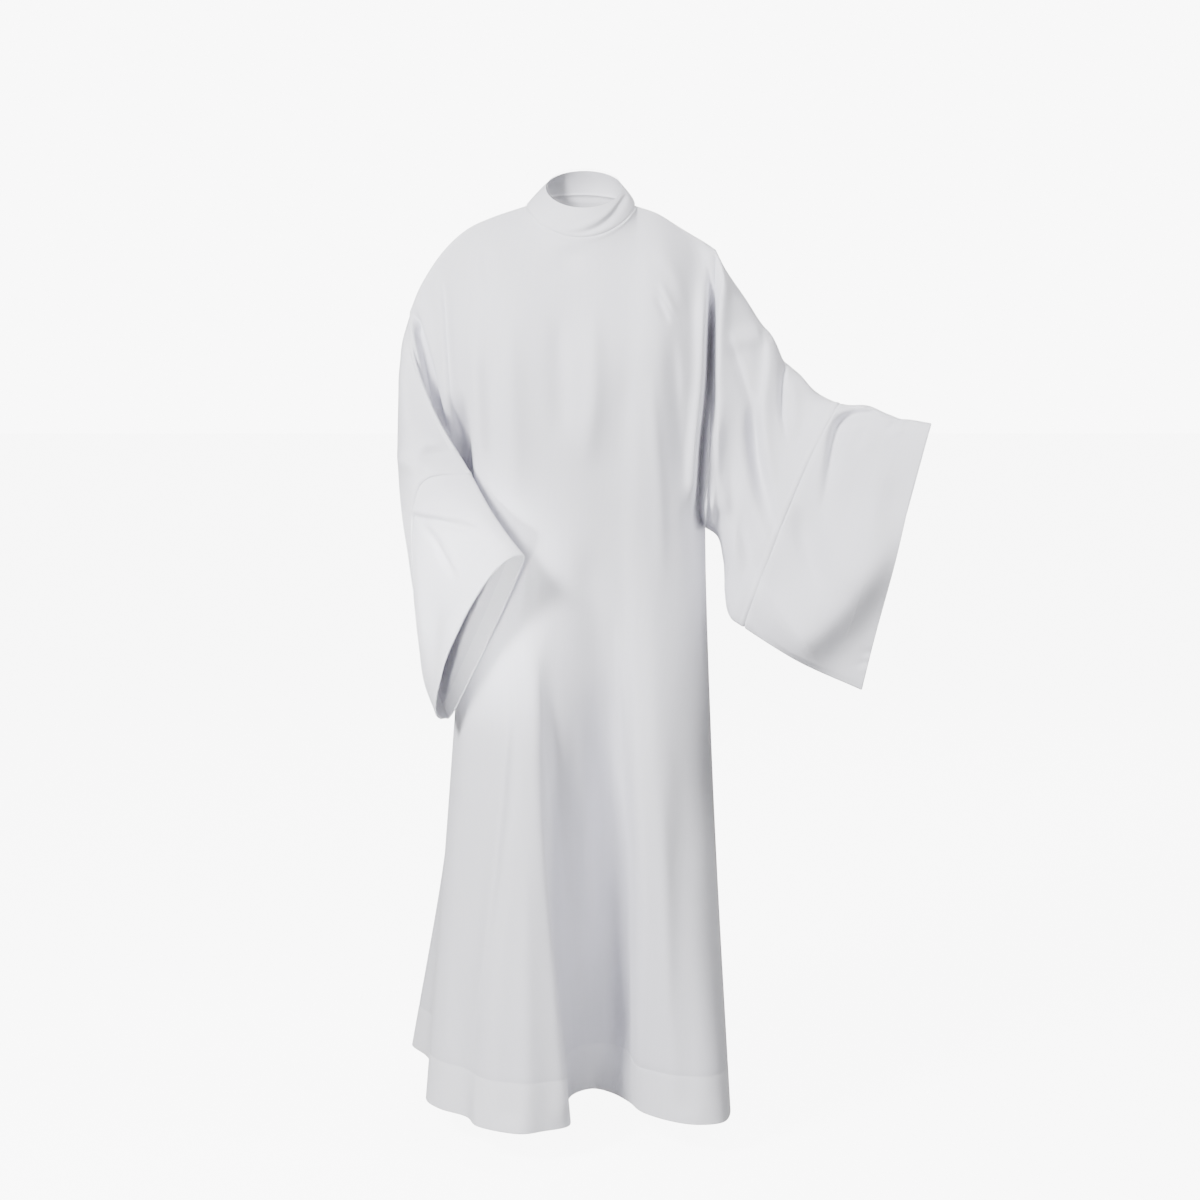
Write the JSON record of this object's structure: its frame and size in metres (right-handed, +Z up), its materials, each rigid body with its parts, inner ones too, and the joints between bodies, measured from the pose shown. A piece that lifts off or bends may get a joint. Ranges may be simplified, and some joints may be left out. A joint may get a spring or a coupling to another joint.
{
  "type": "alb robe",
  "caption": "Ankle-length plain white alb with a stand collar and bell sleeves, in the hollow form it has when worn, one arm bent forward and one held out.",
  "frame": {"origin": "middle of the neck at the height of the shoulder line, where the wearer's shoulders carry the robe", "axes": "+Z up, -Y the way the front faces, +X towards the wearer's left"},
  "size_m": [0.8581, 0.554, 1.531],
  "materials": {
    "cloth": "matte plain weave, thin and slightly sheer"
  },
  "bodies": {
    "root": {"front_panel": "cloth", "back_panel": "cloth", "sleeve_extension_right": "cloth", "sleeve_extension_left": "cloth", "collar_band": "cloth"}
  },
  "joints": []
}
